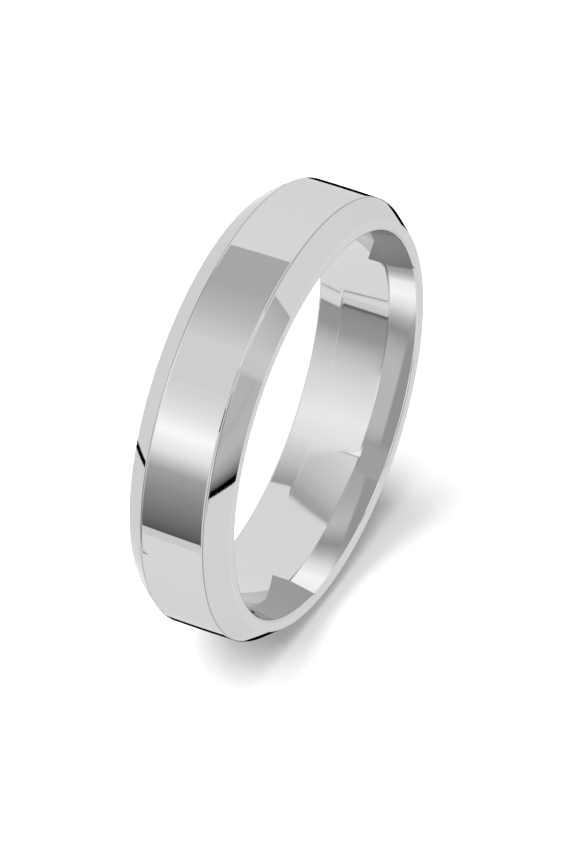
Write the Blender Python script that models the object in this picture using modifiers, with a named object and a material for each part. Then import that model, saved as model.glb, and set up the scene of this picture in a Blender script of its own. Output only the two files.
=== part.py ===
"""Wedding band: a flat-court ring with bevelled edges, turned from one bar of white gold.

The band stands on its rim, with its axis along Y and its centre at the origin.
All lengths are in metres.
"""

import math

import bpy
from mathutils import Vector

# Driving dimensions
OUTER_DIAMETER = 0.0208
BAND_WIDTH = 0.0050
OUTER_FLAT_WIDTH = 0.0031
BEVEL_DROP = 0.00078
SIDE_WALL_HEIGHT = 0.00052
BORE_DIAMETER = 0.0176
BORE_STRAIGHT_WIDTH = 0.0024
EDGE_RADIUS = 0.00012
MOUTH_RADIUS = 0.00024
CREASE_RADIUS = 0.00040

# Fineness of the solid
SEGMENTS_AROUND = 96
EDGE_SEGMENTS = 2
MOUTH_SEGMENTS = 3

# Places worked out from the driving dimensions
OUTER_RADIUS = OUTER_DIAMETER / 2
BORE_RADIUS = BORE_DIAMETER / 2
HALF_WIDTH = BAND_WIDTH / 2
BEVEL_FOOT_RADIUS = OUTER_RADIUS - BEVEL_DROP
HOLE_MOUTH_RADIUS = BEVEL_FOOT_RADIUS - SIDE_WALL_HEIGHT

WHITE_GOLD_COLOUR = (0.83, 0.83, 0.83, 1.0)
WHITE_GOLD_ROUGHNESS = 0.06


def remove_all_objects():
    for scene_object in list(bpy.data.objects):
        bpy.data.objects.remove(scene_object, do_unlink=True)


def make_collection(name):
    collection = bpy.data.collections.new(name)
    bpy.context.scene.collection.children.link(collection)
    return collection


def make_white_gold():
    material = bpy.data.materials.new("polished_white_gold")
    material.use_nodes = True
    shader = material.node_tree.nodes["Principled BSDF"]
    shader.inputs["Base Color"].default_value = WHITE_GOLD_COLOUR
    shader.inputs["Metallic"].default_value = 1.0
    shader.inputs["Roughness"].default_value = WHITE_GOLD_ROUGHNESS
    return material


def rounded_corner(before, corner, after, radius, segments):
    """Arc of the given radius that touches the two straight sides meeting at a corner."""
    to_before = (before - corner).normalized()
    to_after = (after - corner).normalized()
    half_angle = to_before.angle(to_after) / 2
    middle = (to_before + to_after).normalized()
    centre = corner + middle * (radius / math.sin(half_angle))
    first = corner + to_before * (radius / math.tan(half_angle)) - centre
    last = corner + to_after * (radius / math.tan(half_angle)) - centre
    arc = []
    for step in range(segments + 1):
        arc.append(centre + first.slerp(last, step / segments).normalized() * radius)
    return arc


def half_profile():
    """Cross-section from the middle of the outer flat round one edge to the straight bore."""
    flat_middle = Vector((OUTER_RADIUS, 0.0))
    flat_edge = Vector((OUTER_RADIUS, OUTER_FLAT_WIDTH / 2))
    bevel_foot = Vector((BEVEL_FOOT_RADIUS, HALF_WIDTH))
    hole_mouth = Vector((HOLE_MOUTH_RADIUS, HALF_WIDTH))
    bore_edge = Vector((BORE_RADIUS, BORE_STRAIGHT_WIDTH / 2))
    bore_middle = Vector((BORE_RADIUS, 0.0))
    points = rounded_corner(flat_middle, flat_edge, bevel_foot, EDGE_RADIUS, EDGE_SEGMENTS)
    points += rounded_corner(flat_edge, bevel_foot, hole_mouth, EDGE_RADIUS, EDGE_SEGMENTS)
    points += rounded_corner(bevel_foot, hole_mouth, bore_edge, MOUTH_RADIUS, MOUTH_SEGMENTS)
    points += rounded_corner(hole_mouth, bore_edge, bore_middle, CREASE_RADIUS, EDGE_SEGMENTS)
    return points


def full_profile():
    """Closed cross-section that runs down the outer side and up the finger side."""
    upper = half_profile()
    lower = [Vector((radius, -offset)) for radius, offset in upper]
    return upper[::-1] + lower


def make_ring_band(collection):
    profile = full_profile()
    vertices = [(radius, 0.0, offset) for radius, offset in profile]
    edges = [(index, (index + 1) % len(profile)) for index in range(len(profile))]
    mesh = bpy.data.meshes.new("ring_band")
    mesh.from_pydata(vertices, edges, [])
    mesh.materials.append(make_white_gold())

    ring = bpy.data.objects.new("ring_band", mesh)
    collection.objects.link(ring)

    # The screw axis is laid along Y, and half a step of turn puts a facet flat on the ground.
    half_step = math.pi / SEGMENTS_AROUND
    ring.rotation_euler = (-math.pi / 2, half_step, 0.0)

    screw = ring.modifiers.new("turned_ring", "SCREW")
    screw.axis = "Z"
    screw.angle = math.tau
    screw.steps = SEGMENTS_AROUND
    screw.render_steps = SEGMENTS_AROUND
    screw.use_merge_vertices = True
    screw.merge_threshold = 0.000001
    screw.use_smooth_shade = True
    return ring


def main():
    remove_all_objects()
    collection = make_collection("wedding_band")
    make_ring_band(collection)


main()
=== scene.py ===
"""Looks of the wedding band: a mirror-polished ring that stands on a white floor.

Lengths are in metres, apart from those of the cards, which are in outer radii of the band.
The ring's axis is Y, and it stands on its rim.
"""

import math

import bpy
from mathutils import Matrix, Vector


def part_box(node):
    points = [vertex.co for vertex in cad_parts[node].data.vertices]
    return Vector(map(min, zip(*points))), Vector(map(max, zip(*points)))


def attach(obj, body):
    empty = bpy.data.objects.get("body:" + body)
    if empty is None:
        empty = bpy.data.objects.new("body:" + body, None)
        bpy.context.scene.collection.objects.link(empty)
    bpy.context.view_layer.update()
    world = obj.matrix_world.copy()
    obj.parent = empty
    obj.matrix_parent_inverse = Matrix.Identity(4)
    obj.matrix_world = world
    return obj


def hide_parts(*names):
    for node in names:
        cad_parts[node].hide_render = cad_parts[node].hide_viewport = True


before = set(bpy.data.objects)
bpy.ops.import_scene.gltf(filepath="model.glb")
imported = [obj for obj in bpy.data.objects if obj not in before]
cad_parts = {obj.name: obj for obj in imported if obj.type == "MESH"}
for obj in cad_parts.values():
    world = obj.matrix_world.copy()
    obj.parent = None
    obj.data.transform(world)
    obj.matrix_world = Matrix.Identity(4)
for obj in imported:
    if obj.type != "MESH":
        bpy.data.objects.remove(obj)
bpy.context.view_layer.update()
band_low, band_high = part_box("ring_band")

# Sizes read from the frame
OUTER_RADIUS = (band_high.z - band_low.z) / 2
HALF_WIDTH = (band_high.y - band_low.y) / 2
CENTRE = (band_low + band_high) / 2
FLOOR_HEIGHT = band_low.z

# Cross-section of the band. The arris is the edge between the flat and the bevel, the foot is
# where the bevel meets the side wall, and the crease is where the comfort slope begins.
OUTER_FLAT_WIDTH = 0.0031
BEVEL_DROP = 0.00078
BORE_RADIUS = 0.0088
BORE_STRAIGHT_WIDTH = 0.0024
COMFORT_SLOPE = math.radians(13.0)
ARRIS_RADIUS = 0.00028
FOOT_RADIUS = 0.00008
MOUTH_RADIUS = 0.00014
CREASE_RADIUS = 0.0008
# Share of the arris arc, in its middle, that gets a darker metal: a painted dark line along the edge
PAINTED_ARRIS_LINE_SHARE = 0.25
BEVEL_TILT = math.radians(44.5)
FLAT_CROWN = math.radians(1.0)
BEVEL_CROWN = math.radians(1.5)

SEGMENTS_AROUND = 480
CORNER_STEPS = 8
CROWN_STEPS = 10

# Polish marks on the metal, with noise scales per metre
MARKS_ACROSS = 26000.0
MARKS_AROUND = 260.0
HAZE_SCALE = 420.0
WAVE_SCALE = 260.0
TONE_SPREAD = 0.03
ROUGHNESS_SPREAD = 0.4
STREAK_DEPTH = 0.000002
WAVE_DEPTH = 0.00002
WAVINESS = 0.04

# Floor
FLOOR_SIZE_IN_RADII = 60.0
FLOOR_TONES = (0.885, 0.905)
FIBRE_SCALE = 3000.0
FIBRE_STRENGTH = 0.05
FIBRE_DEPTH = 0.00002

# Lights
KEY_ENERGY = 5.07
KEY_ANGLE = math.radians(75.0)
TOWARDS_KEY = (-0.35, 0.30, 1.0)
WORLD_BRIGHTNESS = 1.0
WORLD_BRIGHTNESS_ON_FLOOR = 0.30
WHITE = (1.0, 1.0, 1.0, 1.0)

# Camera. The azimuth turns from -Y towards +X.
CAMERA_AZIMUTH = math.radians(-63.14)
CAMERA_ELEVATION = math.radians(40.09)
LENS_MM = 700.0
SENSOR_MM = 36.0
FRAME_HEIGHT_IN_RADII = 3.715
AIM_RIGHT_IN_RADII = 0.045
AIM_DOWN_IN_RADII = 0.096
CLIP_START = 0.01
CLIP_END = 20.0

# Zones of the surface, in the order of the ring's material slots. The arris zone is a painted dark line
# down the middle of the rounded edge between flat and bevel.
OUTER_FLAT, PAINTED_ARRIS_LINE, BEVEL, SIDE_WALL, MOUTH_EDGE, FINGER_SIDE = range(6)


def radii(*lengths):
    """A point or size given in outer radii of the band, in metres."""
    return Vector(lengths) * OUTER_RADIUS


# ---------------------------------------------------------------------------
# Section and mesh of the ring
# ---------------------------------------------------------------------------


def outward(angle):
    """Unit normal in the section plane: 0 is away from the axis, 90 degrees is along it."""
    return Vector((math.cos(angle), math.sin(angle)))


def rounded_corner(corner, from_angle, to_angle, radius, zone):
    """Stations along the arc that rounds a corner, each (point, normal, zone after it)."""
    first, last = outward(from_angle), outward(to_angle)
    centre = corner - (first + last) * (radius / (1.0 + first.dot(last)))
    stations = []
    for step in range(CORNER_STEPS + 1):
        normal = outward(from_angle + (to_angle - from_angle) * step / CORNER_STEPS)
        stations.append((centre + normal * radius, normal, zone))
    return stations


def crowned_side(start, end, normal_angle, crown, zone):
    """Stations on a nearly flat side, whose normal turns by the crown each way from its middle."""
    stations = []
    for step in range(1, CROWN_STEPS):
        share = step / CROWN_STEPS
        rise = (end - start).length * math.tan(crown) * share * (1.0 - share)
        normal = outward(normal_angle + crown * (2.0 * share - 1.0))
        point = start.lerp(end, share) + outward(normal_angle) * rise
        stations.append((point, normal, zone))
    return stations


def half_section():
    """Stations from the outer flat round one edge to the bore, with the zone after each."""
    arris = Vector((OUTER_RADIUS, OUTER_FLAT_WIDTH / 2))
    foot = Vector((OUTER_RADIUS - BEVEL_DROP, HALF_WIDTH))
    crease = Vector((BORE_RADIUS, BORE_STRAIGHT_WIDTH / 2))
    mouth = Vector((BORE_RADIUS + (HALF_WIDTH - crease.y) * math.tan(COMFORT_SLOPE), HALF_WIDTH))
    side_angle = math.pi / 2
    comfort_angle = math.pi - COMFORT_SLOPE

    bevel_start, bevel_end = BEVEL_TILT - BEVEL_CROWN, BEVEL_TILT + BEVEL_CROWN
    stations = rounded_corner(arris, FLAT_CROWN, bevel_start, ARRIS_RADIUS, BEVEL)
    for step, (point, normal, zone) in enumerate(stations):
        # The middle of the arris arc takes the darker arris metal, a painted dark line; the rest joins
        # the flat or the bevel.
        offset = abs((step + 0.5) / CORNER_STEPS - 0.5)
        if offset < PAINTED_ARRIS_LINE_SHARE / 2:
            stations[step] = (point, normal, PAINTED_ARRIS_LINE)
        elif step < CORNER_STEPS / 2:
            stations[step] = (point, normal, OUTER_FLAT)
    stations += crowned_side(stations[-1][0], foot, BEVEL_TILT, BEVEL_CROWN, BEVEL)
    stations += rounded_corner(foot, bevel_end, side_angle, FOOT_RADIUS, SIDE_WALL)
    stations += rounded_corner(mouth, side_angle, comfort_angle, MOUTH_RADIUS, MOUTH_EDGE)
    stations[-1] = (*stations[-1][:2], FINGER_SIDE)
    stations += rounded_corner(crease, comfort_angle, math.pi, CREASE_RADIUS, FINGER_SIDE)
    return stations


def full_section():
    """Closed loop of stations, and the zone of the strip that follows each of them."""
    near = half_section()
    points = [point for point, normal, zone in near]
    normals = [normal for point, normal, zone in near]
    zones = [zone for point, normal, zone in near]
    far_points = [Vector((point.x, -point.y)) for point in reversed(points)]
    far_normals = [Vector((normal.x, -normal.y)) for normal in reversed(normals)]
    far_zones = zones[:-1][::-1]
    flat_start, flat_end = far_points[-1], points[0]
    flat = crowned_side(flat_start, flat_end, 0.0, FLAT_CROWN, OUTER_FLAT)
    points += far_points + [point for point, normal, zone in flat]
    normals += far_normals + [normal for point, normal, zone in flat]
    zones += far_zones + [OUTER_FLAT] + [zone for point, normal, zone in flat]
    return points, normals, zones


def make_ring():
    """The section turned about Y, with the section's own normals."""
    points, normals, zones = full_section()
    count = len(points)
    vertices, vertex_normals = [], []
    for segment in range(SEGMENTS_AROUND):
        turn = math.tau * segment / SEGMENTS_AROUND
        cos_turn, sin_turn = math.cos(turn), math.sin(turn)
        for point, normal in zip(points, normals):
            vertices.append((point.x * cos_turn, point.y, point.x * sin_turn))
            vertex_normals.append((normal.x * cos_turn, normal.y, normal.x * sin_turn))
    faces, face_zones = [], []
    for segment in range(SEGMENTS_AROUND):
        here = segment * count
        ahead = (segment + 1) % SEGMENTS_AROUND * count
        for station in range(count):
            after = (station + 1) % count
            faces.append((here + station, here + after, ahead + after, ahead + station))
            face_zones.append(zones[station])
    mesh = bpy.data.meshes.new("wedding_band")
    mesh.from_pydata(vertices, [], faces)
    mesh.polygons.foreach_set("material_index", face_zones)
    mesh.shade_smooth()
    mesh.normals_split_custom_set_from_vertices(vertex_normals)
    ring = bpy.data.objects.new("wedding_band", mesh)
    ring.location = CENTRE
    bpy.context.scene.collection.objects.link(ring)
    return ring


# ---------------------------------------------------------------------------
# Materials
# ---------------------------------------------------------------------------


class NodeBuilder:
    """Adds linked shader nodes to one material or world."""

    def __init__(self, owner):
        owner.use_nodes = True
        self.tree = owner.node_tree
        self.tree.nodes.clear()

    def add(self, kind, inputs=None, **settings):
        node = self.tree.nodes.new(kind)
        for name, value in settings.items():
            setattr(node, name, value)
        for name, value in (inputs or {}).items():
            self.feed(node.inputs[name], value)
        return node

    def feed(self, socket, value):
        if isinstance(value, bpy.types.NodeSocket):
            self.tree.links.new(value, socket)
        else:
            socket.default_value = value

    def math(self, operation, *values):
        node = self.add("ShaderNodeMath", operation=operation)
        for index, value in enumerate(values):
            self.feed(node.inputs[index], value)
        return node.outputs[0]

    def spread(self, value, low, high):
        """Maps 0 to 1 onto low to high."""
        inputs = {"Value": value, "To Min": low, "To Max": high}
        return self.add("ShaderNodeMapRange", inputs).outputs["Result"]

    def ramp(self, value, stops):
        """Grey between stops, which are (place from 0 to 1, brightness)."""
        node = self.add("ShaderNodeValToRGB", {"Fac": value})
        elements = node.color_ramp.elements
        while len(elements) < len(stops):
            elements.new(1.0)
        for element, (position, level) in zip(elements, stops):
            element.position = position
            element.color = (level, level, level, 1.0)
        return node.outputs["Color"]

    def noise(self, vector, scale, detail=2.0, roughness=0.5):
        inputs = {"Vector": vector, "Scale": scale, "Detail": detail, "Roughness": roughness}
        return self.add("ShaderNodeTexNoise", inputs).outputs["Fac"]


def lathe_coordinates(nodes):
    """The place on the ring, and a copy that varies fast across the band and slowly around it."""
    place = nodes.add("ShaderNodeTexCoord").outputs["Object"]
    parts = nodes.add("ShaderNodeSeparateXYZ", {"Vector": place})
    x, y, z = parts.outputs
    x_squared = nodes.math("MULTIPLY", x, x)
    z_squared = nodes.math("MULTIPLY", z, z)
    radius = nodes.math("SQRT", nodes.math("ADD", x_squared, z_squared))
    section = nodes.math("SUBTRACT", nodes.math("ABSOLUTE", y), radius)
    inputs = {
        "X": nodes.math("MULTIPLY", x, MARKS_AROUND),
        "Y": nodes.math("MULTIPLY", section, MARKS_ACROSS),
        "Z": nodes.math("MULTIPLY", z, MARKS_AROUND),
    }
    return place, nodes.add("ShaderNodeCombineXYZ", inputs).outputs["Vector"]


def blend(nodes, first, second, share):
    """A share of the first value, and the rest of the second."""
    part = nodes.math("MULTIPLY", first, share)
    rest = nodes.math("MULTIPLY", second, 1.0 - share)
    return nodes.math("ADD", part, rest)


def polished_metal(name, reflectance, grazing, roughness, streaks=0.08):
    """Mirror-polished white metal with buffing streaks, faint haze and a trace of waviness."""
    material = bpy.data.materials.new(name)
    nodes = NodeBuilder(material)
    place, lathe = lathe_coordinates(nodes)

    buffing = nodes.noise(lathe, 1.0, detail=3.0, roughness=0.6)
    haze = nodes.noise(place, HAZE_SCALE, detail=3.0)
    wave = nodes.noise(place, WAVE_SCALE, detail=1.0)

    darkest, lightest = reflectance * (1.0 - TONE_SPREAD), reflectance * (1.0 + TONE_SPREAD)
    base = nodes.ramp(blend(nodes, haze, buffing, 0.6), [(0.0, darkest), (1.0, lightest)])

    smoothest = roughness * (1.0 - ROUGHNESS_SPREAD)
    roughest = roughness * (1.0 + ROUGHNESS_SPREAD)
    rough = nodes.spread(blend(nodes, buffing, haze, 0.5), smoothest, roughest)

    inputs = {"Strength": streaks, "Distance": STREAK_DEPTH, "Height": buffing}
    fine = nodes.add("ShaderNodeBump", inputs).outputs["Normal"]
    inputs = {"Strength": WAVINESS, "Distance": WAVE_DEPTH, "Height": wave, "Normal": fine}
    broad = nodes.add("ShaderNodeBump", inputs).outputs["Normal"]
    inputs = {
        "Base Color": base,
        "Metallic": 1.0,
        "Roughness": rough,
        "Specular Tint": (grazing, grazing, grazing, 1.0),
        "Normal": broad,
    }
    shader = nodes.add("ShaderNodeBsdfPrincipled", inputs)
    output = nodes.add("ShaderNodeOutputMaterial")
    nodes.feed(output.inputs["Surface"], shader.outputs["BSDF"])
    return material


def ring_materials():
    """One polished metal for each zone, in the order of the zones. The zones are one metal: their
    differing tones and grazing tints are painted light and shade, with the bevel darker, the side wall
    lighter, the mouth edge darker and the finger side lighter at grazing, and the arris a painted dark
    line. The differing roughness and streaks are the finish.
    """
    return [
        polished_metal("white_gold_outer_flat", reflectance=0.665, grazing=0.85, roughness=0.022),
        # Painted dark line along the arris: the same metal with its tone darkened
        polished_metal("white_gold_painted_arris_line", reflectance=0.34, grazing=0.85, roughness=0.030),
        polished_metal("white_gold_bevel", reflectance=0.635, grazing=0.85, roughness=0.022),
        polished_metal(
            "white_gold_side_wall", reflectance=0.690, grazing=0.80, roughness=0.040, streaks=0.10
        ),
        polished_metal("white_gold_mouth_edge", reflectance=0.665, grazing=0.68, roughness=0.050),
        polished_metal("white_gold_finger_side", reflectance=0.665, grazing=0.98, roughness=0.060),
    ]


# ---------------------------------------------------------------------------
# Stage: floor, reflected cards, lights
# ---------------------------------------------------------------------------


def make_plane(name, centre, across, along):
    """Rectangle with the given centre and edges. Its UV map runs from 0 to 1 along them."""
    mesh = bpy.data.meshes.new(name)
    corners = [(0, 0), (1, 0), (1, 1), (0, 1)]
    vertices = [centre + across * (x - 0.5) + along * (y - 0.5) for x, y in corners]
    mesh.from_pydata(vertices, [], [(0, 1, 2, 3)])
    uv = mesh.uv_layers.new(name="card")
    for loop, corner in zip(uv.data, corners):
        loop.uv = corner
    plane = bpy.data.objects.new(name, mesh)
    bpy.context.scene.collection.objects.link(plane)
    return plane


def glow_material(name, stops):
    """Light that changes along the card's second edge, from stop to stop."""
    material = bpy.data.materials.new(name)
    nodes = NodeBuilder(material)
    uv = nodes.add("ShaderNodeTexCoord").outputs["UV"]
    along = nodes.add("ShaderNodeSeparateXYZ", {"Vector": uv}).outputs["Y"]
    level = nodes.ramp(along, stops)
    glow = nodes.add("ShaderNodeEmission", {"Color": level, "Strength": 1.0})
    output = nodes.add("ShaderNodeOutputMaterial")
    nodes.feed(output.inputs["Surface"], glow.outputs["Emission"])
    return material


def even(level):
    """Stops of a card that is equally bright all over."""
    return [(0.0, level), (1.0, level)]


def make_card(name, centre, across, along, stops):
    """A light card, or a black one, that only shows in the metal. Sizes are in outer radii."""
    card = make_plane(name, radii(*centre), radii(*across), radii(*along))
    card.data.materials.append(glow_material(name, stops))
    card.visible_camera = False
    card.visible_diffuse = False
    card.visible_shadow = False


def make_overhead_cards():
    """Level diffusers above the ring, whose stops run from -X to +X."""
    overhead_stops = [
        (0.00, 0.93), (0.40, 0.93), (0.53, 0.775), (0.64, 0.655), (0.74, 0.58), (0.86, 0.565),
        (1.00, 0.58),
    ]
    make_card("overhead", (-1.2, 0.735, 3.05), (0, 1.07, 0), (4.36, 0, 0), overhead_stops)
    make_card("overhead_left", (-2.69, 1.53, 3.05), (0, 0.52, 0), (1.38, 0, 0), even(0.93))
    near_overhead_stops = [
        (0.00, 0.715), (0.10, 0.86), (0.39, 0.89), (0.595, 0.80), (0.803, 0.718), (0.939, 0.63),
        (1.00, 0.60),
    ]
    make_card("overhead_near", (-0.5, -5.55, 3.05), (-0.5, 5.9, 0), (2.94, 0, 0), near_overhead_stops)
    hole_overhead_stops = [
        (0.00, 1.03), (0.30, 0.88), (0.566, 0.757), (0.81, 0.573), (1.00, 0.42),
    ]
    make_card("overhead_hole", (-0.71, 1.445, 3.03), (-1.1, 0.35, 0), (2.48, 0, 0), hole_overhead_stops)
    back_overhead_stops = [
        (0.00, 1.17), (0.22, 1.03), (0.457, 0.88), (0.66, 0.757), (0.85, 0.573), (1.00, 0.42),
    ]
    make_card("overhead_back", (-0.98, 3.8, 3.03), (0, 4.36, 0), (2.84, 0, 0), back_overhead_stops)


def make_front_cards():
    """Upright diffuser at -X: brightest above the ring, dark below it, then a pale lip."""
    front_stops = [
        (0.000, 0.12), (0.071, 0.19), (0.197, 0.29), (0.304, 0.388), (0.404, 0.52), (0.502, 1.15),
        (0.604, 1.42), (0.719, 1.14), (0.857, 0.97), (1.00, 0.93),
    ]
    make_card("front", (-12.0, 7.2, 1.7), (0, 9.6, 0), (0, 0, 20.6), front_stops)
    make_card("front_lip", (-12.0, 7.2, -9.45), (0, 9.6, 0), (0, 0, 1.7), even(0.87))


def make_hole_screens():
    """Screens close behind the hole, which show in the finger side."""
    screen_stops = [
        (0.00, 0.36), (0.137, 0.42), (0.274, 0.46), (0.405, 0.71), (0.53, 0.88), (0.657, 1.01),
        (0.80, 1.11), (0.968, 1.21), (1.00, 1.21),
    ]
    make_card("screen", (-2.2, 1.49, -0.125), (0, 1.02, 0), (0, 0, 3.65), screen_stops)
    make_card("screen_top", (-2.2, 3.3, 2.375), (0, 4.0, 0), (0, 0.24, 1.35), [(0, 1.21), (1, 1.10)])
    far_screen_stops = [
        (0.00, 0.36), (0.07, 0.44), (0.24, 0.452), (0.38, 0.71), (0.51, 0.88), (0.64, 1.01),
        (0.79, 1.11), (0.95, 1.21), (1.00, 1.21),
    ]
    make_card("screen_far", (-2.19, 3.5, -0.39), (0, 3.0, 0), (0, 0, 4.46), far_screen_stops)
    make_card("screen_line", (-0.5, 0.72, -1.27), (0, 0.5, 0.25), (0, 0, 0.04), even(0.22))
    make_card("screen_line_far", (-0.5, 1.9, -1.68), (0, 1.0, 0), (0, 0, 0.04), even(0.22))


def make_inner_cards():
    """Cards inside the hole, which show in the near comfort slope."""
    chord_stops = [
        (0.00, 0.54), (0.07, 0.54), (0.15, 0.85), (0.195, 1.25), (0.32, 1.37), (0.395, 1.08),
        (0.445, 0.62), (0.48, 0.38), (0.52, 0.62), (0.545, 0.72), (0.60, 0.62), (0.68, 0.56),
        (1.00, 0.53),
    ]
    make_card("chord", (0.35, -0.1125, -0.33), (0, 0.225, 0), (-0.36, 0, 0.564), chord_stops)
    chord_edge_stops = [
        (0.00, 0.54), (0.12, 0.54), (0.195, 1.10), (0.32, 1.20), (0.40, 0.85), (0.45, 0.52),
        (0.50, 0.42), (0.62, 0.44), (1.00, 0.44),
    ]
    make_card("chord_edge", (0.35, -0.2625, -0.33), (0, 0.075, 0), (-0.36, 0, 0.564), chord_edge_stops)
    make_card("plate_top", (0.76, -0.135, 0.26), (0, 0.21, 0), (0.20, 0, 0), [(0, 0.45), (1, 0.22)])
    make_card("plate_foot", (-0.11, -0.135, -0.77), (0, 0.21, 0), (0, 0, 0.20), even(0.48))
    make_card("plate_start", (0.505, -0.1875, -0.575), (0, 0.145, 0), (0.081, 0, 0.058), even(0.51))


def make_near_card():
    """Upright diffuser on the near side, whose slanted lower edge ends in a black band."""
    near_stops = [
        (0.00, 0.00), (0.065, 0.00), (0.07, 0.12), (0.12, 0.30), (0.18, 0.52), (0.28, 0.71),
        (0.37, 0.71), (0.42, 0.65), (0.46, 0.69), (1.00, 0.72),
    ]
    make_card("near_side", (-6.5, -12.0, 2.27), (11, 0, 9.57), (0, 0, 9.5), near_stops)


def make_outline_cards():
    """Black cards behind and below, which show in the far bevel and along the ring's outline."""
    make_card("gap_back", (1.3, 12.0, -5.8), (3.6, 0, 0), (0, 0, 0.40), even(0.0))
    make_card("behind", (9.55, 3.5, -8.72), (0, -4.6, 0), (6.9, 0, 7.25), even(0.0))
    make_card("behind_left", (7.05, 9.7, -7.2), (-5.5, 4.0, 0), (0.8, 1.1, 2.3), even(0.0))


def make_lens_cards():
    """Bright panels across the line of sight, with a black post on each side of them."""
    make_card("lens_glow", (-5.0, -2.8, 7.0), (0, 3.2, 0), (9.0, 0, 0), even(1.6))
    make_card("lens_panel", (-11.9, -5.6, 6.5), (0, 5.0, 0), (0, 0, 14), even(1.5))
    make_card("post_left", (-11.8, -1.4, 11.5), (0, 3.2, 0), (0, 0, 12), even(0.0))
    make_card("post_right", (-9.0, -9.6, 2.7), (1.4, -1.2, 0), (0, 0, 12), even(0.0))


def make_cards():
    make_overhead_cards()
    make_front_cards()
    make_hole_screens()
    make_inner_cards()
    make_near_card()
    make_outline_cards()
    make_lens_cards()


def make_floor():
    """Pale sheet that the ring stands on."""
    centre = CENTRE.copy()
    centre.z = FLOOR_HEIGHT
    size = FLOOR_SIZE_IN_RADII
    floor = make_plane("floor", centre, radii(size, 0, 0), radii(0, size, 0))
    material = bpy.data.materials.new("white_sheet")
    nodes = NodeBuilder(material)
    place = nodes.add("ShaderNodeTexCoord").outputs["Object"]
    fibre = nodes.noise(place, FIBRE_SCALE, detail=4.0)
    tone = nodes.ramp(fibre, [(0.0, FLOOR_TONES[0]), (1.0, FLOOR_TONES[1])])
    inputs = {"Strength": FIBRE_STRENGTH, "Distance": FIBRE_DEPTH, "Height": fibre}
    bump = nodes.add("ShaderNodeBump", inputs).outputs["Normal"]
    sheet = nodes.add("ShaderNodeBsdfDiffuse", {"Color": tone, "Normal": bump})
    output = nodes.add("ShaderNodeOutputMaterial")
    nodes.feed(output.inputs["Surface"], sheet.outputs["BSDF"])
    floor.data.materials.append(material)
    floor.visible_glossy = False


def make_key():
    """Wide soft sun from the camera's upper left."""
    key = bpy.data.lights.new("key", "SUN")
    key.energy = KEY_ENERGY
    key.angle = KEY_ANGLE
    lamp = bpy.data.objects.new("key", key)
    bpy.context.scene.collection.objects.link(lamp)
    lamp.rotation_euler = Vector(TOWARDS_KEY).to_track_quat("Z", "Y").to_euler()
    lamp.visible_glossy = False


def make_world():
    """White surroundings that light the floor only weakly."""
    world = bpy.data.worlds.new("white_tent")
    bpy.context.scene.world = world
    nodes = NodeBuilder(world)
    diffuse = nodes.add("ShaderNodeLightPath").outputs["Is Diffuse Ray"]
    strength = nodes.spread(diffuse, WORLD_BRIGHTNESS, WORLD_BRIGHTNESS_ON_FLOOR)
    background = nodes.add("ShaderNodeBackground", {"Color": WHITE, "Strength": strength})
    output = nodes.add("ShaderNodeOutputWorld")
    nodes.feed(output.inputs["Surface"], background.outputs["Background"])


def make_camera():
    """Long lens that looks down at the flat and the near side of the ring."""
    camera_data = bpy.data.cameras.new("camera")
    camera_data.lens = LENS_MM
    camera_data.sensor_width = SENSOR_MM
    camera_data.clip_start = CLIP_START
    camera_data.clip_end = CLIP_END
    camera = bpy.data.objects.new("camera", camera_data)
    bpy.context.scene.collection.objects.link(camera)
    back = Vector((
        math.sin(CAMERA_AZIMUTH) * math.cos(CAMERA_ELEVATION),
        -math.cos(CAMERA_AZIMUTH) * math.cos(CAMERA_ELEVATION),
        math.sin(CAMERA_ELEVATION),
    ))
    right = Vector((math.cos(CAMERA_AZIMUTH), math.sin(CAMERA_AZIMUTH), 0.0))
    up = back.cross(right)
    aim = CENTRE + (right * AIM_RIGHT_IN_RADII - up * AIM_DOWN_IN_RADII) * OUTER_RADIUS
    distance = LENS_MM / SENSOR_MM * FRAME_HEIGHT_IN_RADII * OUTER_RADIUS
    camera.location = aim + back * distance
    camera.rotation_euler = back.to_track_quat("Z", "Y").to_euler()
    bpy.context.scene.camera = camera


def main():
    bpy.context.scene.view_settings.view_transform = "Standard"
    make_camera()
    make_floor()
    make_cards()
    make_key()
    make_world()
    ring = make_ring()
    for material in ring_materials():
        ring.data.materials.append(material)
    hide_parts("ring_band")
    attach(ring, "root")


main()
